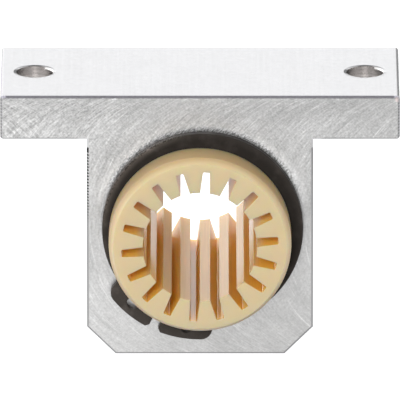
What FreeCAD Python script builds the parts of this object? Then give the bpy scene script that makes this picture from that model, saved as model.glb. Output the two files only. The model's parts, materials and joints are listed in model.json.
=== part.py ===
"""Linear pillow block bearing: an aluminium T block, a slotted polymer sleeve and two retaining rings.

The origin lies on the shaft's axis, half way along the block. +Y runs along the shaft from the front ring to the
rear one, +X runs along the flange, and +Z points at the flange's mounting face. Lengths are in millimetres and
angles in degrees.
"""

import FreeCAD, Part
import math
import os

import Sketcher
from FreeCAD import Placement, Rotation, Vector

# Every size that can be set by itself. The rest of the model is worked out from these.
SIZES = {
    # Slotted sleeve
    "shaft_diameter": 20,
    "slot_count": 18,
    "slot_depth": 3.8,
    "slot_mouth_width": 1.7,
    "slot_floor_width": 1.35,
    "slot_corner_radius": 0.25,
    "slot_floor_wall": 2.2,
    "sleeve_turn": 5,
    "nose_length": 6.9,
    "lead_in_length": 1.5,
    "lead_in_depth": 0.8,
    "lead_in_round_radius": 1.2,
    "bore_mouth_chamfer": 0.1,
    "groove_depth": 0.85,
    # T block
    "housing_length": 28,
    "sleeve_clearance": 0.02,
    "side_wall": 3.85,
    "wall_above_sleeve": 9,
    "wall_below_sleeve": 6.7,
    "flange_overhang": 15.15,
    "flange_thickness": 8,
    "flange_corner_radius": 0.6,
    "flange_root_radius": 0.1,
    "base_chamfer": 5,
    "sawn_edge_chamfer": 0.4,
    "seat_mouth_chamfer": 0.5,
    "bolt_hole_diameter": 6.6,
    "bolt_hole_end_distance": 6,
    "bolt_hole_chamfer": 0.1,
    # Retaining rings
    "ring_thickness": 1.5,
    "ring_side_clearance": 0.05,
    "ring_seat_clearance": 0.03,
    "ring_back_width": 3.5,
    "ring_shoulder_width": 1.4,
    "ring_gap": 1.7,
    "ring_turn": 25.5,
    "ring_edge_chamfer": 0.12,
    "lug_height": 4.3,
    "lug_angle": 26,
    "lug_root_radius": 1.2,
    "lug_corner_chamfer": 0.6,
    "plier_hole_diameter": 2.2,
    "plier_hole_angle": 17.3,
}

# Radii and places that several pieces share, as expressions of the sheet's cells.
BORE_RADIUS = "(Sizes.shaft_diameter / 2)"
SLOT_FLOOR_RADIUS = f"({BORE_RADIUS} + Sizes.slot_depth)"
SLEEVE_RADIUS = f"({SLOT_FLOOR_RADIUS} + Sizes.slot_floor_wall)"
GROOVE_RADIUS = f"({SLEEVE_RADIUS} - Sizes.groove_depth)"
HALF_HOUSING = "(Sizes.housing_length / 2)"
GROOVE_END = f"({HALF_HOUSING} + Sizes.ring_thickness + 2 * Sizes.ring_side_clearance)"
HALF_SLEEVE = f"({GROOVE_END} + Sizes.nose_length)"
RING_MIDDLE = f"({HALF_HOUSING} + Sizes.ring_side_clearance + Sizes.ring_thickness / 2)"

doc = FreeCAD.newDocument("PillowBlock")
sheet = doc.addObject("Spreadsheet::Sheet", "Sizes")
for row, (alias, size) in enumerate(SIZES.items(), start=1):
    sheet.set(f"A{row}", alias)
    sheet.set(f"B{row}", str(size))
    sheet.setAlias(f"B{row}", alias)
doc.recompute()


def value(expression):
    """The number that an expression of the sheet's cells comes to."""
    return sheet.evalExpression(expression)


def new_body(label):
    """An empty body whose label names the sub-part."""
    body = doc.addObject("PartDesign::Body", label)
    body.Label = label
    return body


def origin_feature(body, role):
    """One of the body's own origin planes or axes."""
    return next(feature for feature in body.Origin.OriginFeatures if feature.Role == role)


def sketch_on(body, plane, name):
    """An empty sketch on one of the body's origin planes."""
    sketch = body.newObject("Sketcher::SketchObject", name)
    sketch.AttachmentSupport = (origin_feature(body, plane), [""])
    sketch.MapMode = "FlatFace"
    return sketch


def dimension(sketch, kind, expression, *geometry):
    """Add one dimension, bound to an expression."""
    number = sketch.addConstraint(Sketcher.Constraint(kind, *geometry, value(expression)))
    sketch.setExpression(f"Constraints[{number}]", expression)


def place_point(sketch, geometry, point, across, up):
    """Dimension one point of the sketch from the sketch's origin."""
    dimension(sketch, "DistanceX", across, -1, 1, geometry, point)
    dimension(sketch, "DistanceY", up, -1, 1, geometry, point)


def draw_circle(sketch, across, up, radius):
    """A circle, with its centre and radius bound to expressions."""
    centre = Vector(value(across), value(up), 0)
    circle = sketch.addGeometry(Part.Circle(centre, Vector(0, 0, 1), value(radius)), False)
    place_point(sketch, circle, 3, across, up)
    dimension(sketch, "Radius", radius, circle)


def draw_outline(sketch, corners):
    """A closed outline of straight edges through corners of (across, up, rounding radius or None)."""
    points = [Vector(value(across), value(up), 0) for across, up, _ in corners]
    for start, end in zip(points, points[1:] + points[:1]):
        sketch.addGeometry(Part.LineSegment(start, end), False)
    for edge, (across, up, _) in enumerate(corners):
        edge_before = (edge - 1) % len(corners)
        sketch.addConstraint(Sketcher.Constraint("Coincident", edge_before, 2, edge, 1))
        place_point(sketch, edge, 1, across, up)
    for edge, (_, _, radius) in enumerate(corners):
        if radius is not None:
            arc = sketch.GeometryCount
            sketch.fillet(edge, 1, value(radius), True, True)
            dimension(sketch, "Radius", radius, arc)


def pad_both_ways(body, name, sketch, length):
    """Pad a sketch, half of the length to each side of its plane."""
    pad = body.newObject("PartDesign::Pad", name)
    pad.Profile = sketch
    pad.SideType = "Symmetric"
    pad.setExpression("Length", length)
    doc.recompute()
    return pad


def check_cut(body, name, volume_before):
    """Stop if a cut has taken nothing away."""
    doc.recompute()
    if not body.Shape.Volume < volume_before:
        raise RuntimeError(f"{name} cuts nothing from {body.Label}")


def pocket_through(body, name, sketch):
    """Cut a sketch right through the body, to both sides of its plane."""
    volume_before = body.Shape.Volume
    pocket = body.newObject("PartDesign::Pocket", name)
    pocket.Profile = sketch
    pocket.SideType = "Symmetric"
    pocket.Type = "ThroughAll"
    check_cut(body, name, volume_before)
    return pocket


def mirror(body, name, plane, features):
    """Repeat features on the other side of one of the body's origin planes."""
    mirrored = body.newObject("PartDesign::Mirrored", name)
    mirrored.Originals = features
    mirrored.MirrorPlane = (origin_feature(body, plane), [""])
    body.Tip = mirrored
    doc.recompute()
    return mirrored


def edges_where(body, is_wanted):
    """The names of the body's edges that pass a test."""
    edges = enumerate(body.Shape.Edges, start=1)
    return [f"Edge{number}" for number, edge in edges if is_wanted(edge)]


def dress_edges(body, kind, name, is_wanted, size):
    """Fillet or chamfer the body's edges that pass a test."""
    edges = edges_where(body, is_wanted)
    if not edges:
        raise RuntimeError(f"{name} finds no edge on {body.Label}")
    base = body.Tip
    feature = body.newObject(kind, name)
    feature.Base = (base, edges)
    feature.setExpression("Radius" if kind == "PartDesign::Fillet" else "Size", size)
    doc.recompute()


def near(first, second):
    """Whether two lengths are the same to a thousandth of a millimetre."""
    return abs(first - second) < 0.001


def lies_flat(edge, axis, place):
    """Whether an edge lies wholly in the plane at a place along one axis."""
    box = edge.BoundBox
    lowest = getattr(box, axis + "Min")
    highest = getattr(box, axis + "Max")
    return near(lowest, place) and near(highest, place)


def is_circle(edge, radius):
    """Whether an edge is a circle, or an arc of one, of this radius."""
    return isinstance(edge.Curve, Part.Circle) and near(edge.Curve.Radius, radius)


def make_housing():
    """The block: a T profile extruded along the shaft and sawn off, then bored and drilled."""
    body = new_body("housing")
    half_body = f"({SLEEVE_RADIUS} + Sizes.side_wall)"
    half_flange = f"({half_body} + Sizes.flange_overhang)"
    top = f"({SLEEVE_RADIUS} + Sizes.wall_above_sleeve)"
    underside = f"({top} - Sizes.flange_thickness)"
    base = f"(-({SLEEVE_RADIUS} + Sizes.wall_below_sleeve))"
    seat_radius = f"({SLEEVE_RADIUS} + Sizes.sleeve_clearance)"

    right_corners = [
        (half_flange, top, "Sizes.flange_corner_radius"),
        (half_flange, underside, "Sizes.flange_corner_radius"),
        (half_body, underside, "Sizes.flange_root_radius"),
        (half_body, f"{base} + Sizes.base_chamfer", None),
        (f"({half_body} - Sizes.base_chamfer)", base, None),
    ]
    left_corners = [(f"-{across}", up, radius) for across, up, radius in reversed(right_corners)]
    profile = sketch_on(body, "XZ_Plane", "TeeProfile")
    draw_outline(profile, right_corners + left_corners)
    pad_both_ways(body, "Extrusion", profile, "Sizes.housing_length")

    end = value(HALF_HOUSING)
    dress_edges(
        body,
        "PartDesign::Chamfer",
        "SawnEdgeBreak",
        lambda edge: lies_flat(edge, "Y", end) or lies_flat(edge, "Y", -end),
        "Sizes.sawn_edge_chamfer",
    )

    seat_circle = sketch_on(body, "XZ_Plane", "SleeveSeatCircle")
    draw_circle(seat_circle, "0", "0", seat_radius)
    pocket_through(body, "SleeveSeat", seat_circle)
    dress_edges(
        body,
        "PartDesign::Chamfer",
        "SeatMouths",
        lambda edge: is_circle(edge, value(seat_radius)),
        "Sizes.seat_mouth_chamfer",
    )

    hole_centres = sketch_on(body, "XY_Plane", "BoltHoleCircles")
    hole_centres.setExpression("AttachmentOffset.Base.z", top)
    for side in ("-", ""):
        across = f"{side}({half_flange} - Sizes.bolt_hole_end_distance)"
        draw_circle(hole_centres, across, "0", "Sizes.bolt_hole_diameter / 2")
    doc.recompute()
    volume_before = body.Shape.Volume
    holes = body.newObject("PartDesign::Hole", "BoltHoles")
    holes.Profile = hole_centres
    holes.DepthType = "ThroughAll"
    holes.setExpression("Diameter", "Sizes.bolt_hole_diameter")
    check_cut(body, "BoltHoles", volume_before)
    dress_edges(
        body,
        "PartDesign::Chamfer",
        "BoltHoleRims",
        lambda edge: is_circle(edge, value("Sizes.bolt_hole_diameter / 2")),
        "Sizes.bolt_hole_chamfer",
    )
    return body


def make_sleeve():
    """The polymer sleeve: a turned tube with a ring groove near each end and slots all along its bore."""
    body = new_body("bearing_sleeve")
    half_section = [
        (f"({HALF_SLEEVE} - Sizes.bore_mouth_chamfer)", BORE_RADIUS, None),
        (HALF_SLEEVE, f"({BORE_RADIUS} + Sizes.bore_mouth_chamfer)", None),
        (HALF_SLEEVE, f"({SLEEVE_RADIUS} - Sizes.lead_in_depth)", None),
        (f"({HALF_SLEEVE} - Sizes.lead_in_length)", SLEEVE_RADIUS, "Sizes.lead_in_round_radius"),
    ]
    other_half = [(f"-{along}", out, radius) for along, out, radius in reversed(half_section)]
    section = sketch_on(body, "YZ_Plane", "TubeSection")
    draw_outline(section, half_section + other_half)
    tube = body.newObject("PartDesign::Revolution", "Tube")
    tube.Profile = section
    tube.ReferenceAxis = (origin_feature(body, "Y_Axis"), [""])
    doc.recompute()

    groove_section = sketch_on(body, "YZ_Plane", "RingGrooveSection")
    draw_outline(groove_section, [
        (HALF_HOUSING, GROOVE_RADIUS, None),
        (GROOVE_END, GROOVE_RADIUS, None),
        (GROOVE_END, f"({SLEEVE_RADIUS} + Sizes.groove_depth)", None),
        (HALF_HOUSING, f"({SLEEVE_RADIUS} + Sizes.groove_depth)", None),
    ])
    volume_before = body.Shape.Volume
    groove = body.newObject("PartDesign::Groove", "RingGroove")
    groove.Profile = groove_section
    groove.ReferenceAxis = (origin_feature(body, "Y_Axis"), [""])
    check_cut(body, "RingGroove", volume_before)
    mirror(body, "BothRingGrooves", "XZ_Plane", [groove])

    # The slot's sides run on past the bore at the same taper, so that the cut is open there.
    half_floor = "(Sizes.slot_floor_width / 2)"
    half_inner_end = f"(Sizes.slot_mouth_width - {half_floor})"
    inner_end = f"({BORE_RADIUS} - Sizes.slot_depth)"
    slot_section = sketch_on(body, "XZ_Plane", "SlotSection")
    draw_outline(slot_section, [
        (half_inner_end, inner_end, None),
        (half_floor, SLOT_FLOOR_RADIUS, "Sizes.slot_corner_radius"),
        (f"-{half_floor}", SLOT_FLOOR_RADIUS, "Sizes.slot_corner_radius"),
        (f"-{half_inner_end}", inner_end, None),
    ])
    slot = pocket_through(body, "Slot", slot_section)
    slots = body.newObject("PartDesign::PolarPattern", "Slots")
    slots.Originals = [slot]
    slots.Axis = (origin_feature(body, "Y_Axis"), [""])
    slots.Angle = 360
    slots.setExpression("Occurrences", "Sizes.slot_count")
    body.Tip = slots

    body.Placement = Placement(Vector(), Rotation(Vector(0, 1, 0), value("Sizes.sleeve_turn")))
    body.setExpression("Placement.Rotation.Angle", "Sizes.sleeve_turn")
    doc.recompute()
    return body


def draw_lug(sketch, inner_radius, outer_radius, angle):
    """A curved bar below the origin, from straight down to an angle on the right, with a round far end."""
    end_radius = f"(({outer_radius} - {inner_radius}) / 2)"
    middle_radius = f"(({outer_radius} + {inner_radius}) / 2)"
    up = Vector(0, 0, 1)
    down = Vector(0, -1, 0)
    turned = Rotation(up, value(angle)).multVec(down)
    end_centre = turned * value(middle_radius)
    outer_circle = Part.Circle(Vector(), up, value(outer_radius))
    inner_circle = Part.Circle(Vector(), up, value(inner_radius))
    end_circle = Part.Circle(end_centre, up, value(end_radius))

    def arc(circle, start, end):
        """The part of a circle that runs anticlockwise from one point to another."""
        return Part.ArcOfCircle(circle, circle.parameter(start), circle.parameter(end))

    outer_start = down * value(outer_radius)
    outer_end = turned * value(outer_radius)
    inner_start = down * value(inner_radius)
    inner_end = turned * value(inner_radius)
    outer = sketch.addGeometry(arc(outer_circle, outer_start, outer_end), False)
    inner = sketch.addGeometry(arc(inner_circle, inner_start, inner_end), False)
    round_end = sketch.addGeometry(arc(end_circle, outer_end, inner_end), False)
    root = sketch.addGeometry(Part.LineSegment(inner_start, outer_start), False)
    for curve in (outer, inner):
        sketch.addConstraint(Sketcher.Constraint("Coincident", curve, 3, -1, 1))
    sketch.addConstraint(Sketcher.Constraint("Tangent", outer, 2, round_end, 1))
    sketch.addConstraint(Sketcher.Constraint("Tangent", inner, 2, round_end, 2))
    sketch.addConstraint(Sketcher.Constraint("Coincident", root, 1, inner, 1))
    sketch.addConstraint(Sketcher.Constraint("Coincident", root, 2, outer, 1))
    sketch.addConstraint(Sketcher.Constraint("PointOnObject", root, 1, -2))
    sketch.addConstraint(Sketcher.Constraint("PointOnObject", root, 2, -2))
    dimension(sketch, "Radius", outer_radius, outer)
    dimension(sketch, "Radius", inner_radius, inner)
    dimension(sketch, "DistanceX", f"{middle_radius} * sin({angle})", -1, 1, round_end, 3)


def make_ring(label, side):
    """A stamped retaining ring: an off-centre band with two lugs, a gap and plier holes."""
    body = new_body(label)
    seat_radius = f"({GROOVE_RADIUS} + Sizes.ring_seat_clearance)"
    band_radius = f"({seat_radius} + (Sizes.ring_back_width + Sizes.ring_shoulder_width) / 2)"
    band_rise = "((Sizes.ring_back_width - Sizes.ring_shoulder_width) / 2)"
    lug_inner_radius = f"({seat_radius} + Sizes.ring_shoulder_width / 4)"
    lug_outer_radius = f"({seat_radius} + Sizes.lug_height)"
    lug_middle_radius = f"(({lug_outer_radius} + {lug_inner_radius}) / 2)"
    lug_end_radius = f"(({lug_outer_radius} - {lug_inner_radius}) / 2)"
    plier_hole_place = f"(({lug_outer_radius} + {seat_radius}) / 2)"

    circles = sketch_on(body, "XZ_Plane", "BandCircles")
    draw_circle(circles, "0", "0", seat_radius)
    draw_circle(circles, "0", band_rise, band_radius)
    pad_both_ways(body, "Band", circles, "Sizes.ring_thickness")

    lug_outline = sketch_on(body, "XZ_Plane", "LugOutline")
    draw_lug(lug_outline, lug_inner_radius, lug_outer_radius, "Sizes.lug_angle")
    lug = pad_both_ways(body, "Lug", lug_outline, "Sizes.ring_thickness")
    hole_circle = sketch_on(body, "XZ_Plane", "PlierHoleCircle")
    draw_circle(
        hole_circle,
        f"{plier_hole_place} * sin(Sizes.plier_hole_angle)",
        f"-{plier_hole_place} * cos(Sizes.plier_hole_angle)",
        "Sizes.plier_hole_diameter / 2",
    )
    hole = pocket_through(body, "PlierHole", hole_circle)
    mirror(body, "BothLugs", "YZ_Plane", [lug, hole])
    lug_end_across = value(f"{lug_middle_radius} * sin(Sizes.lug_angle)")
    lug_end_up = value(f"-{lug_middle_radius} * cos(Sizes.lug_angle)")

    def joins_lug_to_band(edge):
        """Whether an edge lies where a lug's round end runs into the band."""
        middle = edge.CenterOfMass
        from_band_centre = math.hypot(middle.x, middle.z - value(band_rise))
        from_lug_end = math.hypot(abs(middle.x) - lug_end_across, middle.z - lug_end_up)
        return near(from_band_centre, value(band_radius)) and near(from_lug_end, value(lug_end_radius))

    dress_edges(body, "PartDesign::Fillet", "LugRoots", joins_lug_to_band, "Sizes.lug_root_radius")

    gap_outline = sketch_on(body, "XZ_Plane", "GapOutline")
    gap_end = f"-({lug_outer_radius} + Sizes.lug_height)"
    draw_outline(gap_outline, [
        ("Sizes.ring_gap / 2", "0", None),
        ("-Sizes.ring_gap / 2", "0", None),
        ("-Sizes.ring_gap / 2", gap_end, None),
        ("Sizes.ring_gap / 2", gap_end, None),
    ])
    pocket_through(body, "Gap", gap_outline)

    def is_lug_corner(edge):
        """Whether an edge is the outer corner of a lug, beside the gap."""
        middle = edge.CenterOfMass
        beside_gap = near(abs(middle.x), value("Sizes.ring_gap / 2"))
        return beside_gap and near(math.hypot(middle.x, middle.z), value(lug_outer_radius))

    dress_edges(body, "PartDesign::Chamfer", "LugCorners", is_lug_corner, "Sizes.lug_corner_chamfer")
    half_thickness = value("Sizes.ring_thickness / 2")

    def is_inner_edge(edge):
        """Whether an edge runs along the ring's seat or round a plier hole."""
        return is_circle(edge, value(seat_radius)) or is_circle(edge, value("Sizes.plier_hole_diameter / 2"))

    dress_edges(
        body,
        "PartDesign::Chamfer",
        "StampedEdge",
        lambda edge: lies_flat(edge, "Y", side * half_thickness) and not is_inner_edge(edge),
        "Sizes.ring_edge_chamfer",
    )

    # Each ring has its gap down and to the left, seen from its own end of the sleeve.
    turn = Rotation(Vector(0, -side, 0), value("Sizes.ring_turn"))
    body.Placement = Placement(Vector(0, side * value(RING_MIDDLE), 0), turn)
    body.setExpression("Placement.Base.y", f"{side} * {RING_MIDDLE}")
    body.setExpression("Placement.Rotation.Angle", "Sizes.ring_turn")
    doc.recompute()
    return body


def check_and_write(bodies):
    """Stop if anything failed to build, then write each sub-part to its own file."""
    doc.recompute()
    for item in doc.Objects:
        if "Invalid" in item.State or "Error" in item.State:
            raise RuntimeError(f"{item.Label} failed to build")
    for body in bodies:
        if body.Shape.isNull() or not body.Shape.isValid():
            raise RuntimeError(f"{body.Label} has no valid shape")
    os.makedirs("parts", exist_ok=True)
    for body in bodies:
        body.Shape.exportStep(f"parts/{body.Label}.step")


check_and_write([
    make_housing(),
    make_sleeve(),
    make_ring("front_retaining_ring", -1),
    make_ring("rear_retaining_ring", 1),
])
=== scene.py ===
import json
import math

import bpy
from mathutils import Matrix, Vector


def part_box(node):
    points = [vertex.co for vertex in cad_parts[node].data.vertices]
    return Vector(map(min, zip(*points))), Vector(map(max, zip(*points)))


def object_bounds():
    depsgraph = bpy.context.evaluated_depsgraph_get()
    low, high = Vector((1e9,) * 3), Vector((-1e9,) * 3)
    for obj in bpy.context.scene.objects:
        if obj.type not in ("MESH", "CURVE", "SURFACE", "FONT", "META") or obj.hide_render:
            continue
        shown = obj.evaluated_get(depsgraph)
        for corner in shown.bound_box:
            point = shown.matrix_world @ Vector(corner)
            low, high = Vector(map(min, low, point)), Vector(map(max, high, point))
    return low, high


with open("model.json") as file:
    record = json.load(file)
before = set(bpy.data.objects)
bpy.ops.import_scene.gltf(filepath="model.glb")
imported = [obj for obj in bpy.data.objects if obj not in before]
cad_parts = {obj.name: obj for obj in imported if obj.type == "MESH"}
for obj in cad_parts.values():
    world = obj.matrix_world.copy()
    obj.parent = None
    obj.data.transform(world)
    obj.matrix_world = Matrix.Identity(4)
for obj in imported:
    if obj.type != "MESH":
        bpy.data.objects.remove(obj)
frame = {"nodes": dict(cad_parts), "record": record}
cad_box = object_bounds()
bpy.ops.object.select_all(action="DESELECT")


# The block. The real one is a T section of extruded aluminium, sawn to length, with two drilled holes.
# Its ends are face milled by a cutter wider than the block is high, which leaves arcs that cross.
# The edges are broken by hand. Round the ring the milled face has dark specks, a painted reflection of the
# ring, and a lighter strip, a painted highlight.

MILLIMETRES_PER_METRE = 1000


def add_node(tree, kind, **settings):
    """Add one shader node to a tree and set its properties."""
    node = tree.nodes.new("ShaderNode" + kind)
    for name, setting in settings.items():
        setattr(node, name, setting)
    return node


def feed(tree, socket, source):
    """Link another node's output to a socket, or set the socket to a plain value."""
    if isinstance(source, bpy.types.NodeSocket):
        tree.links.new(source, socket)
    else:
        socket.default_value = source


def calculate(tree, operation, *terms):
    """One step of arithmetic on numbers or other nodes' outputs."""
    node = add_node(tree, "Math", operation=operation)
    for socket, term in zip(node.inputs, terms):
        feed(tree, socket, term)
    return node.outputs["Value"]


def add(tree, total, *terms):
    """The sum of numbers or outputs."""
    for term in terms:
        total = calculate(tree, "ADD", total, term)
    return total


def subtract(tree, whole, part):
    """One number or output less another."""
    return calculate(tree, "SUBTRACT", whole, part)


def multiply(tree, product, *factors):
    """The product of numbers or outputs."""
    for factor in factors:
        product = calculate(tree, "MULTIPLY", product, factor)
    return product


def ramp(tree, source, span, low=0.0, high=1.0):
    """A smooth change from low to high as the source goes from the span's start to its end."""
    node = add_node(tree, "MapRange", interpolation_type="SMOOTHSTEP")
    start, end = span
    feed(tree, node.inputs["Value"], source)
    feed(tree, node.inputs["From Min"], start)
    feed(tree, node.inputs["From Max"], end)
    feed(tree, node.inputs["To Min"], low)
    feed(tree, node.inputs["To Max"], high)
    return node.outputs["Result"]


def join_axes(tree, x, y, z):
    """A vector made of three numbers or outputs."""
    node = add_node(tree, "CombineXYZ")
    for socket, part in zip(node.inputs, (x, y, z)):
        feed(tree, socket, part)
    return node.outputs["Vector"]


def split_axes(tree, vector):
    """The three parts of a vector."""
    node = add_node(tree, "SeparateXYZ")
    feed(tree, node.inputs["Vector"], vector)
    return node.outputs


def distance(tree, across, up):
    """How far a point lies from an axis or a middle, from its two parts across it."""
    node = add_node(tree, "VectorMath", operation="LENGTH")
    feed(tree, node.inputs["Vector"], join_axes(tree, across, up, 0.0))
    return node.outputs["Value"]


def noise(tree, vector, scale=1.0, detail=2.0, roughness=0.5):
    """Soft random values about 0.5, with features one unit of the vector in size, divided by the scale."""
    node = add_node(tree, "TexNoise")
    feed(tree, node.inputs["Vector"], vector)
    feed(tree, node.inputs["Scale"], scale)
    feed(tree, node.inputs["Detail"], detail)
    feed(tree, node.inputs["Roughness"], roughness)
    return node.outputs["Fac"]


def lines_along_shaft(tree, place, width, length, detail):
    """Random lines that run along the shaft, about this wide and this long in millimetres."""
    x, y, z = place
    across = calculate(tree, "DIVIDE", x, width)
    along = calculate(tree, "DIVIDE", y, length)
    up = calculate(tree, "DIVIDE", z, width)
    return noise(tree, join_axes(tree, across, along, up), detail=detail)


def about_middle(tree, value, strength):
    """A noise value as a change up or down from 0, with a strength that may vary."""
    return multiply(tree, subtract(tree, value, 0.5), strength)


def about_one(tree, change, strength):
    """A shade of 1 with a change added to it, at a strength that may vary."""
    return calculate(tree, "MULTIPLY_ADD", change, strength, 1.0)


def mix_colours(tree, share, first, second):
    """The first colour where the share is 0 and the second where it is 1."""
    node = add_node(tree, "Mix", data_type="RGBA")
    sockets = {socket.identifier: socket for socket in node.inputs}
    feed(tree, sockets["Factor_Float"], share)
    feed(tree, sockets["A_Color"], first)
    feed(tree, sockets["B_Color"], second)
    return next(socket for socket in node.outputs if socket.identifier == "Result_Color")


def mix_values(tree, share, first, second):
    """The first value where the share is 0 and the second where it is 1."""
    node = add_node(tree, "Mix", data_type="FLOAT")
    sockets = {socket.identifier: socket for socket in node.inputs}
    feed(tree, sockets["Factor_Float"], share)
    feed(tree, sockets["A_Float"], first)
    feed(tree, sockets["B_Float"], second)
    return next(socket for socket in node.outputs if socket.identifier == "Result_Float")


def scale_vector(tree, vector, factor):
    """A vector or colour with all three of its parts multiplied by one factor."""
    node = add_node(tree, "VectorMath", operation="SCALE")
    feed(tree, node.inputs["Vector"], vector)
    feed(tree, node.inputs["Scale"], factor)
    return node.outputs["Vector"]


def shade_colour(tree, colour, shade):
    """A plain colour made lighter or darker by a shade about 1."""
    return scale_vector(tree, colour[:3], shade)


def start_material(name):
    """A new material, its tree, its shader, and the position on the part in millimetres."""
    material = bpy.data.materials.new(name)
    material.use_nodes = True
    tree = material.node_tree
    shader = tree.nodes["Principled BSDF"]
    coordinates = add_node(tree, "TexCoord")
    position = scale_vector(tree, coordinates.outputs["Object"], MILLIMETRES_PER_METRE)
    return material, tree, shader, position


def add_bump(tree, shader, height, depth):
    """Let a height tilt the surface, as if a height of 1 were this deep in metres."""
    bump = add_node(tree, "Bump")
    bump.inputs["Distance"].default_value = depth
    feed(tree, bump.inputs["Height"], height)
    feed(tree, shader.inputs["Normal"], bump.outputs["Normal"])


def build_wear_group():
    """A group that every finish here shares: fine grain, and soft smudges left by handling."""
    group = bpy.data.node_groups.new("grain_and_smudges", "ShaderNodeTree")
    group.interface.new_socket("Position", in_out="INPUT", socket_type="NodeSocketVector")
    group.interface.new_socket("Grain size", in_out="INPUT", socket_type="NodeSocketFloat")
    group.interface.new_socket("Smudge size", in_out="INPUT", socket_type="NodeSocketFloat")
    group.interface.new_socket("Grain", in_out="OUTPUT", socket_type="NodeSocketFloat")
    group.interface.new_socket("Smudges", in_out="OUTPUT", socket_type="NodeSocketFloat")
    outside = group.nodes.new("NodeGroupInput")
    inside = group.nodes.new("NodeGroupOutput")
    grain_scale = calculate(group, "DIVIDE", 1.0, outside.outputs["Grain size"])
    smudge_scale = calculate(group, "DIVIDE", 1.0, outside.outputs["Smudge size"])
    grain = noise(group, outside.outputs["Position"], grain_scale, detail=3.0, roughness=0.6)
    smudges = noise(group, outside.outputs["Position"], smudge_scale, detail=4.0, roughness=0.55)
    feed(group, inside.inputs["Grain"], grain)
    feed(group, inside.inputs["Smudges"], smudges)
    return group


wear_group = build_wear_group()


def add_wear(tree, position, grain_size, smudge_size):
    """Place the shared grain and smudges in a material, with sizes in millimetres."""
    node = add_node(tree, "Group", node_tree=wear_group)
    feed(tree, node.inputs["Position"], position)
    feed(tree, node.inputs["Grain size"], grain_size)
    feed(tree, node.inputs["Smudge size"], smudge_size)
    return node.outputs["Grain"], node.outputs["Smudges"]


block = frame["nodes"]["housing"]
block_low, block_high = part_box("housing")
block_half_length = block_high.y * MILLIMETRES_PER_METRE
block_half_width = block_high.x * MILLIMETRES_PER_METRE
block_top = block_high.z * MILLIMETRES_PER_METRE
block_middle_height = (block_low.z + block_high.z) / 2 * MILLIMETRES_PER_METRE
body_half_width = 19.85
flange_underside = 17.0
edge_break = 0.4
inner_line = block_half_length - edge_break
mounts = {mount["name"]: mount for mount in frame["record"]["mounts"]}
hole_offset = mounts["flange_bolts"]["dims"]["spacing_x_mm"] / 2
hole_radius = mounts["flange_bolts"]["dims"]["hole_r_mm"]
band_radius = 17.63
ring_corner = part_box("front_retaining_ring")[1] * MILLIMETRES_PER_METRE
band_centre_x = ring_corner.x - band_radius
band_centre_z = ring_corner.z - band_radius

aluminium, tree, shader, position = start_material("face_milled_aluminium")
x, y, z = split_axes(tree, position)
grain, smudges = add_wear(tree, position, grain_size=0.36, smudge_size=6.0)

# Where a point lies: on a milled end, on its broken edge or in a screw hole, and which way it faces.
end_face = (block_half_length - 0.06, block_half_length - 0.02)
break_line = (inner_line - 0.03, inner_line + 0.01)
hole_wall = (hole_radius + 0.06, hole_radius + 0.02)
body_side = (body_half_width + 2, body_half_width + 1)
turned_plus = (0.3, 0.6)
turned_minus = (-0.3, -0.6)

from_middle = calculate(tree, "ABSOLUTE", x)
distance_along = calculate(tree, "ABSOLUTE", y)
on_end = ramp(tree, distance_along, end_face)
past_break = ramp(tree, distance_along, break_line)
on_break = subtract(tree, past_break, on_end)
own_hole_x = multiply(tree, calculate(tree, "SIGN", x), hole_offset)
from_hole_x = subtract(tree, x, own_hole_x)
from_hole_axis = distance(tree, from_hole_x, y)
in_hole = ramp(tree, from_hole_axis, hole_wall)
surface = add_node(tree, "TexCoord")
facing = split_axes(tree, surface.outputs["Normal"])
facing_up = ramp(tree, facing["Z"], turned_plus)
facing_down = ramp(tree, facing["Z"], turned_minus)
facing_left = ramp(tree, facing["X"], turned_minus)
on_body = ramp(tree, from_middle, body_side)
on_body_left = multiply(tree, on_body, facing_left)

# The milled ends: strokes and arcs from both sides of the cutter, fine ridges, wide sweeps and grain.
milled_colour = (0.506, 0.505, 0.503, 1)
cutter_radius = 26.0
cut_spacing = 0.40
wide_cut_spacing = cut_spacing * 1.6
stroke_length = 1.4
arc_length = 8.0
short_arc_length = arc_length / 2
ridge_spacing = 0.12
ridge_length = 3.0
sweep_spacing = 1.3
sweep_length = 9.0
recut_patches_per_millimetre = 0.12
recut_patch = (0.42, 0.62)
recut_share = 0.6
bright_arc = (0.60, 0.74)
cut_end = (9 - block_half_width, 5 - block_half_width)
mottle_fade = (-block_half_width, 0.3 * block_half_width)
left_mottle = 1.05
right_mottle = 0.85
mottle_rise = (0.0, 0.7 * block_top)
low_mottle = 0.55
middle_cut = (0.0, 14.0)
middle_cut_shade = 1.06
high_cut = (18.0, 24.0)
high_cut_shade = 0.93
left_cut = (-block_half_width, -8.0)
painted_light_left_shade = 1.05
stroke_contrast = 1.0
grain_contrast = 1.1
arc_contrast = 0.45
sweep_contrast = 0.55
smudge_contrast = 0.25
cut_end_contrast = 1.3
bright_arc_contrast = 0.22

above_cutter = subtract(tree, z, block_middle_height)
reach_squared = subtract(tree, cutter_radius**2, multiply(tree, above_cutter, above_cutter))
reach = calculate(tree, "SQRT", reach_squared)
along_cut = multiply(tree, calculate(tree, "ARCTAN2", above_cutter, reach), cutter_radius)
leading_centre = add(tree, x, reach)
trailing_centre = subtract(tree, x, reach)


def cut_marks(centre, spacing, length, seed):
    """Marks along the arcs that one side of the cutter leaves, about this wide and this long."""
    across = calculate(tree, "DIVIDE", centre, spacing)
    along = calculate(tree, "DIVIDE", along_cut, length)
    return noise(tree, join_axes(tree, across, along, seed))


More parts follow.
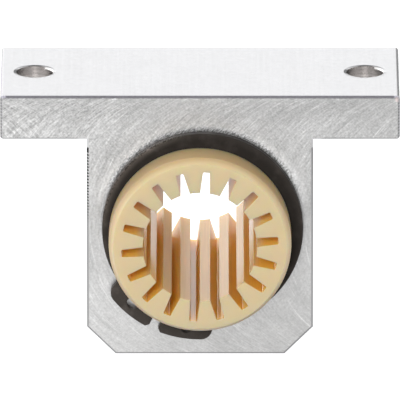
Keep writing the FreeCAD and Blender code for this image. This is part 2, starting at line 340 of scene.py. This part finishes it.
leading_strokes = cut_marks(leading_centre, cut_spacing, stroke_length, seed=1.0)
trailing_strokes = cut_marks(trailing_centre, cut_spacing, stroke_length, seed=5.0)
leading_arcs = cut_marks(leading_centre, cut_spacing, arc_length, seed=9.0)
trailing_arcs = cut_marks(trailing_centre, wide_cut_spacing, short_arc_length, seed=13.0)
leading_ridges = cut_marks(leading_centre, ridge_spacing, ridge_length, seed=17.0)
trailing_ridges = cut_marks(trailing_centre, ridge_spacing, ridge_length, seed=21.0)
sweeps = cut_marks(leading_centre, sweep_spacing, sweep_length, seed=25.0)
recut_patches = noise(tree, position, recut_patches_per_millimetre)
recut = ramp(tree, recut_patches, recut_patch, 0.0, recut_share)
strokes = mix_values(tree, recut, leading_strokes, trailing_strokes)
ridges = mix_values(tree, recut, leading_ridges, trailing_ridges)
bright_arcs = ramp(tree, leading_arcs, bright_arc)
at_cut_end = ramp(tree, x, cut_end, 0.0, cut_end_contrast)
mottle_strength = multiply(
    tree,
    ramp(tree, x, mottle_fade, left_mottle, right_mottle),
    ramp(tree, z, mottle_rise, low_mottle, 1.0),
)
mottle = add(
    tree,
    about_middle(tree, strokes, stroke_contrast),
    about_middle(tree, grain, grain_contrast),
    about_middle(tree, leading_arcs, arc_contrast),
    about_middle(tree, sweeps, sweep_contrast),
)
milled_shade = add(
    tree,
    about_one(tree, mottle, mottle_strength),
    about_middle(tree, smudges, smudge_contrast),
    about_middle(tree, trailing_arcs, at_cut_end),
    multiply(tree, bright_arcs, bright_arc_contrast),
)
# The face is lighter up to mid-height and darker along the top, and it is painted lighter towards the left
# end, painted light from the lamp at the left.
up_to_middle_shade = ramp(tree, z, middle_cut, 1.0, middle_cut_shade)
milled_shade = multiply(
    tree,
    milled_shade,
    ramp(tree, z, high_cut, up_to_middle_shade, high_cut_shade),
    ramp(tree, x, left_cut, painted_light_left_shade, 1.0),
)

# Round the ring on the milled face: dark specks along its upper half, a painted reflection of the ring, and
# a lighter strip round them, a painted highlight.
speck_width = 0.30
speck_length = 0.55
speck_tone = (0.36, 0.64)
dark_speck = -0.6
light_speck = 0.3
speck_reach = (1.1, 0.3)
speck_rise = (4.0, 10.0)
speck_share = 0.9
strip_inside = (0.0, 0.4)
strip_outside = (2.4, 0.9)
strip_rise = (3.0, 10.0)
strip_top = (17.5, 15.0)
strip_top_gain = 0.10
strip_side_gain = 0.30


def as_in_front(tree, x, y):
    """A place across as the front ring has it, since the rear ring is the same piece turned round."""
    return multiply(tree, x, calculate(tree, "SIGN", multiply(tree, y, -1.0)))


from_ring_x = subtract(tree, as_in_front(tree, x, y), band_centre_x)
from_ring_z = subtract(tree, z, band_centre_z)
past_ring = subtract(tree, distance(tree, from_ring_x, from_ring_z), band_radius)
speck_marks = cut_marks(leading_centre, speck_width, speck_length, seed=29.0)
specks = ramp(tree, speck_marks, speck_tone, dark_speck, light_speck)
by_ring = ramp(tree, past_ring, speck_reach)
painted_speckle_share = multiply(tree, by_ring, ramp(tree, from_ring_z, speck_rise, 0.0, speck_share))
# Painted highlight: a strip just outside the ring is painted lighter.
painted_light_strip = multiply(
    tree,
    ramp(tree, past_ring, strip_inside),
    ramp(tree, past_ring, strip_outside),
    ramp(tree, from_ring_z, strip_top, strip_top_gain, strip_side_gain),
    ramp(tree, from_ring_z, strip_rise),
)
milled_shade = multiply(tree, milled_shade, about_one(tree, specks, painted_speckle_share), add(tree, 1.0, painted_light_strip))

# The extruded sides: die lines along the shaft, smudges and small blotches, and corners painted slightly
# darker, a painted shade.
extruded_colour = (0.48, 0.48, 0.49, 1)
die_line_width = 0.3
die_line_length = 25.0
die_line_contrast = 0.10
side_smudge_contrast = 0.2
blotch_size = 1.0
blotch_contrast = 0.14
corner = (block_half_width - 0.5, block_half_width - 0.1)
painted_corner_shade = 0.8

die_lines = lines_along_shaft(tree, (x, y, z), die_line_width, die_line_length, detail=3.0)
extruded_shade = add(
    tree,
    1.0,
    about_middle(tree, die_lines, die_line_contrast),
    about_middle(tree, smudges, side_smudge_contrast),
    about_middle(tree, noise(tree, position, 1 / blotch_size), blotch_contrast),
)
extruded_shade = multiply(tree, extruded_shade, ramp(tree, from_middle, corner, 1.0, painted_corner_shade))

# The drilled holes: feed lines round the walls, and a weak light streak painted down the middle of each, a
# painted highlight.
drilled_colour = (0.82, 0.80, 0.79, 1)
drill_feed = 0.35
drill_line_contrast = 0.5
streak_place = 0.5
streak_edge = (0.3, 2.8)
painted_streak_shade = 1.08
beside_streak_shade = 0.94

drill_turns = calculate(tree, "DIVIDE", z, drill_feed)
drill_lines = noise(tree, join_axes(tree, 0.0, 0.0, drill_turns), detail=1.0)
from_streak = calculate(tree, "ABSOLUTE", subtract(tree, from_hole_x, streak_place))
drilled_shade = multiply(
    tree,
    add(tree, 1.0, about_middle(tree, drill_lines, drill_line_contrast)),
    ramp(tree, from_streak, streak_edge, painted_streak_shade, beside_streak_shade),
)

# The broken edges: file tooth marks on the body's left edge and on the flange, and a nick below the flange.
top_edge_colour = (0.675, 0.66, 0.72, 1)
side_edge_colour = (0.33, 0.33, 0.335, 1)
top_edge_contrast = 0.6
break_width = (inner_line, block_half_length)
inner_side_shade = 0.75
outer_side_shade = 1.15
inner_underside_shade = 1.5
outer_underside_shade = 0.45
underside_rise = (0.0, 10.0)
low_underside_shade = 0.8
high_underside_shade = 1.15
tooth_spacing = 0.56
tooth_wander = 6.0
tooth_flank = (-0.3, 0.3)
body_teeth = (1.0, 8.0)
body_tooth_contrast = 0.97
flange_tooth_contrast = 0.2
filed_part = (1.0, 4.0)
filed_shade = 0.75
file_start = flange_underside - 1.6
nick = (file_start - 0.85, file_start - 0.7)
nick_shade = 0.08
root = (file_start, file_start + 0.2)
painted_root_highlight = 1.8

tooth_turn = multiply(tree, smudges, tooth_wander)
tooth_turn = calculate(tree, "MULTIPLY_ADD", z, 2 * math.pi / tooth_spacing, tooth_turn)
teeth = ramp(tree, calculate(tree, "SINE", tooth_turn), tooth_flank, -1.0, 1.0)
tooth_contrast = add(
    tree,
    multiply(tree, on_body_left, ramp(tree, z, body_teeth, 0.0, body_tooth_contrast)),
    multiply(tree, subtract(tree, 1.0, on_body), flange_tooth_contrast),
)
tooth_contrast = multiply(tree, tooth_contrast, subtract(tree, 1.0, facing_down))
# Painted shade: each break is painted darker on one half of its width and lighter on the other, the other
# way round on the undersides.
painted_across_break_shade = ramp(
    tree,
    distance_along,
    break_width,
    mix_values(tree, facing_down, inner_side_shade, inner_underside_shade),
    mix_values(tree, facing_down, outer_side_shade, outer_underside_shade),
)
filed = multiply(tree, on_body_left, ramp(tree, z, filed_part))
# Painted shade: the breaks that face down are painted darker towards the bottom.
underside_shade = ramp(tree, z, underside_rise, low_underside_shade, high_underside_shade)
side_edge_shade = multiply(
    tree,
    about_one(tree, teeth, tooth_contrast),
    painted_across_break_shade,
    mix_values(tree, filed, 1.0, filed_shade),
    mix_values(tree, facing_down, 1.0, underside_shade),
)
nicked = multiply(tree, on_body_left, ramp(tree, z, nick))
side_edge_shade = mix_values(tree, nicked, side_edge_shade, nick_shade)
# Painted highlight: near the flange's root the break is painted as bright as the face.
by_root = multiply(tree, on_body, ramp(tree, z, root))
side_edge_shade = mix_values(tree, by_root, side_edge_shade, painted_root_highlight)
top_edge_shade = add(tree, 1.0, about_middle(tree, grain, top_edge_contrast))
edge_colour = mix_colours(
    tree,
    facing_up,
    shade_colour(tree, side_edge_colour, side_edge_shade),
    shade_colour(tree, top_edge_colour, top_edge_shade),
)

# One corner of the front face, at the upper right, has been knocked and looks duller and redder.
knocked_colour = (0.66, 0.585, 0.575, 1)
knock_inset_x = 0.4
knock_inset_z = 0.55
knock_edge = (0.60, 0.40)
front_break = (-inner_line, -block_half_length)

from_knock_x = subtract(tree, x, block_half_width - knock_inset_x)
from_knock_z = subtract(tree, z, block_top - knock_inset_z)
knocked = multiply(
    tree,
    ramp(tree, distance(tree, from_knock_x, from_knock_z), knock_edge),
    ramp(tree, y, front_break),
)

colour = shade_colour(tree, extruded_colour, extruded_shade)
colour = mix_colours(tree, on_end, colour, shade_colour(tree, milled_colour, milled_shade))
colour = mix_colours(tree, on_break, colour, edge_colour)
colour = mix_colours(tree, in_hole, colour, shade_colour(tree, drilled_colour, drilled_shade))
colour = mix_colours(tree, knocked, colour, knocked_colour)
feed(tree, shader.inputs["Base Color"], colour)

# The gloss: smooth sides with smudges, duller cuts, and dull ends on the top face's broken edges.
side_roughness = 0.16
smudge_roughness = 0.12
cut_roughness = 0.44
stroke_roughness = -0.16
dull_roughness = 0.85
dull_part = (block_half_width - 1.1, block_half_width - 0.7)

smooth_roughness = calculate(tree, "MULTIPLY_ADD", smudges, smudge_roughness, side_roughness)
milled_roughness = calculate(tree, "MULTIPLY_ADD", strokes, stroke_roughness, cut_roughness)
roughness = mix_values(tree, past_break, smooth_roughness, milled_roughness)
dulled = multiply(tree, on_break, facing_up, ramp(tree, from_middle, dull_part))
roughness = mix_values(tree, dulled, roughness, dull_roughness)
feed(tree, shader.inputs["Roughness"], roughness)

# The relief: cutter ridges, die lines, feed lines, and hole rims that are broken, most on the right.
milling_depth = 0.00003
rim_break = 0.45
rim_fall_per_millimetre = 22.0
right_of_hole = (1.65, 1.75)
level_face = (0.8, 0.95)
upright_wall = (0.6, 0.3)
die_line_height = 0.12
drill_line_height = 0.35
grain_height = 0.08

side_relief = multiply(tree, die_lines, die_line_height)
cut_relief = mix_values(tree, on_end, side_relief, add(tree, strokes, ridges))
above_break = subtract(tree, z, block_top - rim_break)
above_break = calculate(tree, "MAXIMUM", above_break, 0.0)
inside_break = subtract(tree, hole_radius + rim_break, from_hole_axis)
inside_break = calculate(tree, "MAXIMUM", inside_break, 0.0)
wall_slope = multiply(
    tree,
    ramp(tree, from_hole_x, right_of_hole),
    ramp(tree, facing["Z"], upright_wall),
    -rim_fall_per_millimetre,
)
face_slope = ramp(tree, facing["Z"], level_face, 0.0, -rim_fall_per_millimetre)
face_relief = calculate(tree, "MULTIPLY_ADD", inside_break, face_slope, cut_relief)
wall_relief = add(
    tree,
    multiply(tree, drill_lines, drill_line_height),
    multiply(tree, above_break, wall_slope),
)
relief = mix_values(tree, in_hole, face_relief, wall_relief)
relief = calculate(tree, "MULTIPLY_ADD", grain, grain_height, relief)
add_bump(tree, shader, relief, milling_depth)
shader.inputs["Metallic"].default_value = 1.0
block.material_slots[0].material = aluminium


# The sleeve. The real one is moulded in one piece from cream bearing polymer with some solid lubricant.
# The slots let dirt and water out of the bore. Light that bounces between their walls turns orange, and the
# bore and slots are painted orange for it, a painted glow of bounced light.
# It is pushed through the block, where it is free to float by a few hundredths of a millimetre.

sleeve = frame["nodes"]["bearing_sleeve"]
sleeve_half_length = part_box("bearing_sleeve")[1].y * MILLIMETRES_PER_METRE
sleeve_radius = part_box("bearing_sleeve")[1].x * MILLIMETRES_PER_METRE
bore_radius = mounts["shaft_bore"]["dims"]["r_mm"]
slot_floor_radius = bore_radius + 3.8
end_rim = (sleeve_half_length - 0.01, sleeve_half_length - 0.12)
slot_depth = (bore_radius + 0.1, bore_radius + 1.6)
past_floor = (slot_floor_radius + 0.4, slot_floor_radius + 0.1)
outside_wall = (sleeve_radius - 0.7, sleeve_radius - 0.06)
rib_side = (bore_radius + 0.05, bore_radius + 0.3)
slot_floor = (slot_floor_radius - 0.2, slot_floor_radius - 0.1)
flow_line_width = 0.28
flow_line_length = 18.0
flow_line_contrast = 0.24
flow_line_height = 0.6
cream_colour = (0.85, 0.670, 0.400, 1)
pale_cream_colour = (0.86, 0.680, 0.413, 1)
bounce_lit_bore_colour = (0.85, 0.57, 0.25, 1)
bounce_lit_slot_colour = (1.0, 0.645, 0.128, 1)
shaded_outer_colour = (0.70, 0.505, 0.26, 1)
pale_patch = (0.35, 0.65)
end_roughness = 0.30
end_smudge_roughness = 0.10
running_roughness = 0.22
rib_side_roughness = 0.32
floor_roughness = 0.08
moulded_grain_depth = 0.000003
light_share_below = 0.6
light_depth = 0.005
light_reach = (1.0, 0.5, 0.12)

polymer, tree, shader, position = start_material("moulded_cream_polymer")
x, y, z = split_axes(tree, position)
grain, smudges = add_wear(tree, position, grain_size=0.25, smudge_size=4.0)
radius = distance(tree, x, z)
off_end = ramp(tree, calculate(tree, "ABSOLUTE", y), end_rim)
in_bore = multiply(tree, ramp(tree, radius, past_floor), off_end)
in_slot = multiply(tree, ramp(tree, radius, slot_depth), in_bore)
flow_lines = lines_along_shaft(tree, (x, y, z), flow_line_width, flow_line_length, detail=2.0)
colour = mix_colours(tree, ramp(tree, smudges, pale_patch), cream_colour, pale_cream_colour)
# Painted shade: the outer wall is painted darker than the end face.
colour = mix_colours(tree, ramp(tree, radius, outside_wall), colour, shaded_outer_colour)
# Painted light: the bore and the slots are painted orange for the light that bounces in them.
colour = mix_colours(tree, in_bore, colour, bounce_lit_bore_colour)
colour = mix_colours(tree, in_slot, colour, bounce_lit_slot_colour)
line_shade = about_middle(tree, flow_lines, multiply(tree, in_bore, flow_line_contrast))
colour = scale_vector(tree, colour, add(tree, line_shade, 1.0))
feed(tree, shader.inputs["Base Color"], colour)
face_roughness = calculate(tree, "MULTIPLY_ADD", smudges, end_smudge_roughness, end_roughness)
bore_roughness = ramp(tree, radius, rib_side, running_roughness, rib_side_roughness)
bore_roughness = ramp(tree, radius, slot_floor, bore_roughness, floor_roughness)
feed(tree, shader.inputs["Roughness"], mix_values(tree, in_bore, face_roughness, bore_roughness))
relief = calculate(tree, "MULTIPLY_ADD", flow_lines, multiply(tree, in_bore, flow_line_height), grain)
add_bump(tree, shader, relief, moulded_grain_depth)
shader.inputs["Subsurface Weight"].default_value = light_share_below
shader.inputs["Subsurface Radius"].default_value = light_reach
shader.inputs["Subsurface Scale"].default_value = light_depth
sleeve.material_slots[0].material = polymer


# The retaining rings. Each real one is stamped from spring steel, tumbled, phosphated black and oiled.
# It is sprung open with pliers, which leave their touch on the lugs, and snapped into the sleeve's groove.
# The finish is a fine dull crystal. Its rim is painted lighter, most of all at the upper left where the
# light falls, a painted highlight.

ring_colour = (0.027, 0.0235, 0.021, 1)
rubbed_colour = (0.045, 0.039, 0.036, 1)
gap_turn = math.radians(205.5)
by_lugs = (0.55, 0.9)
lug_gain = 1.6
highlight_turn = math.radians(-50)
highlight_reach = (0.68, 0.96)
rim_gain = 0.6
highlighted_rim_gain = 3.0
rim_width = (band_radius - 1.4, band_radius)
past_band = (band_radius + 0.3, band_radius + 0.05)
rim_speck_size = 0.32
rim_speck_tone = (0.40, 0.60)
rim_speck_contrast = 0.6
rim_speck_reach = (0.68, 0.90)
rim_speck_width = (band_radius - 0.5, band_radius)
rubbed_patch = (0.45, 0.75)
grain_shade = 0.75
ring_grain_contrast = 0.5
ring_roughness = 0.55
rubbed_roughness = -0.2
ring_gloss = 0.08
phosphate_depth = 0.000008

spring_steel, tree, shader, position = start_material("phosphated_spring_steel")
x, y, z = split_axes(tree, position)
grain, smudges = add_wear(tree, position, grain_size=0.12, smudge_size=3.0)
own_x = as_in_front(tree, x, y)
from_ring_x = subtract(tree, own_x, band_centre_x)
from_ring_z = subtract(tree, z, band_centre_z)
from_ring_centre = distance(tree, from_ring_x, from_ring_z)


def share_towards(turn, across, up):
    """How far a point lies towards a turn of the ring, clockwise from its top, as a share of its radius."""
    share_across = multiply(tree, across, math.sin(turn) / band_radius)
    share_up = multiply(tree, up, math.cos(turn) / band_radius)
    return add(tree, share_across, share_up)


towards_gap = share_towards(gap_turn, own_x, z)
towards_highlight = share_towards(highlight_turn, from_ring_x, from_ring_z)
# Painted highlight: the rim is painted lighter, most of all at the upper left.
rim = multiply(tree, ramp(tree, from_ring_centre, rim_width), ramp(tree, from_ring_centre, past_band))
rim_strength = ramp(tree, towards_highlight, highlight_reach, rim_gain, highlighted_rim_gain)
handled = ramp(tree, towards_gap, by_lugs)
# Painted reflection: light and dark specks along the rim at the upper left.
rim_speck_noise = noise(tree, position, 1 / rim_speck_size)
rim_specks = ramp(tree, rim_speck_noise, rim_speck_tone, -rim_speck_contrast, rim_speck_contrast)
painted_speckle_share = multiply(
    tree,
    ramp(tree, towards_highlight, rim_speck_reach),
    ramp(tree, from_ring_centre, rim_speck_width),
)
ring_shade = multiply(
    tree,
    about_one(tree, rim, rim_strength),
    about_one(tree, handled, lug_gain),
    calculate(tree, "MULTIPLY_ADD", grain, ring_grain_contrast, grain_shade),
    about_one(tree, rim_specks, painted_speckle_share),
)
colour = mix_colours(tree, ramp(tree, smudges, rubbed_patch), ring_colour, rubbed_colour)
feed(tree, shader.inputs["Base Color"], scale_vector(tree, colour, ring_shade))
roughness = calculate(tree, "MULTIPLY_ADD", smudges, rubbed_roughness, ring_roughness)
feed(tree, shader.inputs["Roughness"], roughness)
add_bump(tree, shader, grain, phosphate_depth)
shader.inputs["Specular IOR Level"].default_value = ring_gloss
for side in ("front", "rear"):
    frame["nodes"][f"{side}_retaining_ring"].material_slots[0].material = spring_steel


# The table, which isn't part of the object. It is a wide sheet of white acrylic with soft light coming up
# through it, brightest behind the block at the left and dimmer in front of it at the right.
# Only the camera and mirrors see it, and the camera sees it evenly white.

table_size = 4.0
table_colour = (0.3, 0.3, 0.3, 1)
table_roughness = 0.6
table_glow = 1.0
lit_place = (-60, 80, 0)
lit_reach = (130, 270)
far_share = 0.45
dim_place = (22, -35, 0)
dim_reach = (15, 45)
dim_share = 0.8

bpy.ops.mesh.primitive_plane_add(size=table_size, location=(0, 0, cad_box[0].z))
table = bpy.context.object
table.name = "white_table"
white_acrylic, tree, shader, position = start_material("white_acrylic")


def distance_from(place):
    """How far a point of the table is from one place on it, in millimetres."""
    node = add_node(tree, "VectorMath", operation="DISTANCE")
    feed(tree, node.inputs[0], position)
    feed(tree, node.inputs[1], place)
    return node.outputs["Value"]


glow = multiply(
    tree,
    ramp(tree, distance_from(lit_place), lit_reach, 1.0, far_share),
    ramp(tree, distance_from(dim_place), dim_reach, dim_share, 1.0),
)
rays = add_node(tree, "LightPath")
glow = mix_values(tree, rays.outputs["Is Camera Ray"], glow, 1.0)
feed(tree, shader.inputs["Emission Color"], join_axes(tree, glow, glow, glow))
shader.inputs["Emission Strength"].default_value = table_glow
shader.inputs["Base Color"].default_value = table_colour
shader.inputs["Roughness"].default_value = table_roughness
table.data.materials.append(white_acrylic)
table.visible_diffuse = False


# The studio. White paper stands behind the block, with a dark flag at the right, and dimmer paper in front.
# The ceiling is dark above the camera and lighter elsewhere, most of all in mirrors.
# A soft lamp stands beside the camera, and two low lamps behind the block don't show in mirrors.

left_paper_glow = 1.8
back_paper_glow = 1.65
side_paper_glow = 0.8
front_paper_glow = 0.25
front_ceiling_glow = 0.12
back_ceiling_glow = 0.48
mirrored_ceiling_glow = 0.85
flag_glow = 0.35
floor_glow = 0.22
camera_glow = 1.0

# Each change of glow runs over a span of one part of the direction that is looked in.
left_to_back = (-0.30, -0.05)
side_to_camera = (0.65, 0.30)
front_to_back = (-0.5, 0.3)
paper_to_ceiling = (0.35, 0.80)
front_ceiling_depth = (-0.05, 0.18)
mirrored_ceiling_depth = (-0.68, -0.52)
floor_to_paper = (-0.12, 0.0)
flag_depth = (0.3, 0.7)
flag_side = (0.04, 0.27)
mirrored_flag_top = (0.48, 0.36)

world = bpy.data.worlds.new("paper_studio")
bpy.context.scene.world = world
world.use_nodes = True
tree = world.node_tree
directions = add_node(tree, "TexCoord")
x, y, z = split_axes(tree, directions.outputs["Generated"])
rays = add_node(tree, "LightPath")
mirrored = rays.outputs["Is Glossy Ray"]
by_camera = ramp(tree, calculate(tree, "ABSOLUTE", x), side_to_camera)
front_glow = mix_values(tree, by_camera, side_paper_glow, front_paper_glow)
back_glow = ramp(tree, x, left_to_back, left_paper_glow, back_paper_glow)
paper_glow = ramp(tree, y, front_to_back, front_glow, back_glow)
back_ceiling = mix_values(tree, mirrored, back_ceiling_glow, mirrored_ceiling_glow)
overhead = multiply(tree, by_camera, ramp(tree, y, mirrored_ceiling_depth))
over_camera = mix_values(tree, mirrored, by_camera, overhead)
front_ceiling = mix_values(tree, over_camera, back_ceiling, front_ceiling_glow)
ceiling_glow = ramp(tree, y, front_ceiling_depth, front_ceiling, back_ceiling)
glow = ramp(tree, z, paper_to_ceiling, paper_glow, ceiling_glow)
glow = ramp(tree, z, floor_to_paper, floor_glow, glow)
flag = multiply(tree, ramp(tree, y, flag_depth), ramp(tree, x, flag_side))
mirrored_flag = multiply(tree, flag, ramp(tree, z, mirrored_flag_top))
flag = mix_values(tree, mirrored, flag, mirrored_flag)
glow = mix_values(tree, flag, glow, flag_glow)
glow = mix_values(tree, rays.outputs["Is Camera Ray"], glow, camera_glow)
feed(tree, tree.nodes["Background"].inputs["Strength"], glow)
tree.nodes["Background"].inputs["Color"].default_value = (1, 1, 1, 1)


def direction(azimuth, elevation):
    """The way from the object to something seen at these degrees, where azimuth 0 is in front of it."""
    turn = math.radians(azimuth)
    height = math.sin(math.radians(elevation))
    level = math.cos(math.radians(elevation))
    return Vector((math.sin(turn) * level, -math.cos(turn) * level, height))


def turn_back(towards):
    """The rotation of a lamp or camera that stands this way from the object and looks back at it."""
    return (-towards).to_track_quat("-Z", "Y").to_euler()


def add_lamp(name, towards, away, size, power, in_mirrors):
    """Set up a square lamp this way and this far from the object."""
    bpy.ops.object.light_add(type="AREA", location=towards * away)
    lamp = bpy.context.object
    lamp.name = name
    lamp.data.shape = "SQUARE"
    lamp.data.size = size
    lamp.data.energy = power
    lamp.rotation_euler = turn_back(towards)
    lamp.visible_glossy = in_mirrors


add_lamp("front_lamp", direction(-13, 24), away=0.70, size=0.28, power=2.52, in_mirrors=True)
add_lamp("back_right_lamp", direction(160, 15), away=1.2, size=0.40, power=4.0, in_mirrors=False)
add_lamp("back_left_lamp", direction(-160, 15), away=1.2, size=0.40, power=4.0, in_mirrors=False)


# The camera. It stands far in front of the block with a very long lens and looks down a little,
# so that the block's sides stay almost parallel and its flange fills the width of the picture.

lens = 1700.0
sensor_width = 36.0
view_width = 0.07045
view_elevation = 18.5
view_centre = Vector((0, 0, 0.00119))
view_end = 10.0

bpy.ops.object.camera_add()
camera = bpy.context.object
camera.data.lens = lens
camera.data.sensor_width = sensor_width
camera.data.clip_end = view_end
towards_camera = direction(0, view_elevation)
camera.location = view_centre + towards_camera * (view_width * lens / sensor_width)
camera.rotation_euler = turn_back(towards_camera)
bpy.context.scene.camera = camera
bpy.context.scene.view_settings.view_transform = "Standard"
